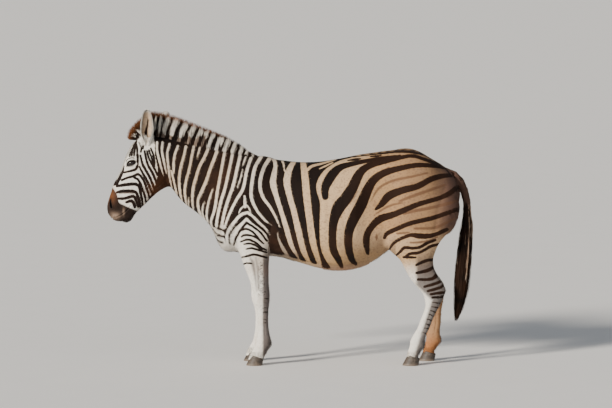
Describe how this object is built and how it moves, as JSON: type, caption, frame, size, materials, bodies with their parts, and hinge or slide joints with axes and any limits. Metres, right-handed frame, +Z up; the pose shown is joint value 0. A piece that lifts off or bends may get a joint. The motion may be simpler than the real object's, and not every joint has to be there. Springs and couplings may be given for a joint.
{
  "type": "zebra",
  "caption": "Life-size plains zebra standing still on its hooves, head held low, with a striped coat, upright mane and hanging tail.",
  "frame": {"origin": "on the ground, under the middle of the overall length and between the left and right hooves", "axes": "+X runs from the nose towards the tail along the length, -Y is the animal's left side, +Z is up"},
  "size_m": [2.3096, 0.5396, 1.6117],
  "materials": {
    "coat": "short flat hair, cream to white with dark brown-black stripes",
    "mane": "stiff upright hair in white and dark bands with rusty tips",
    "tail_hair": "long coarse hair, near black",
    "hoof": "dark ringed horn",
    "eye": "wet, very dark brown"
  },
  "bodies": {
    "root": {"head": "coat", "neck": "coat", "trunk": "coat", "ear_left": "coat", "ear_right": "coat", "tail_dock": "coat", "fore_left_upper_leg": "coat", "fore_left_lower_leg": "coat", "fore_left_hoof": "hoof", "fore_right_upper_leg": "coat", "fore_right_lower_leg": "coat", "fore_right_hoof": "hoof", "hind_left_upper_leg": "coat", "hind_left_lower_leg": "coat", "hind_left_hoof": "hoof", "hind_right_upper_leg": "coat", "hind_right_lower_leg": "coat", "hind_right_hoof": "hoof", "eye_left": "eye", "eye_right": "eye", "forelock": "mane", "mane": "mane", "tail_tassel": "tail_hair"}
  },
  "joints": []
}
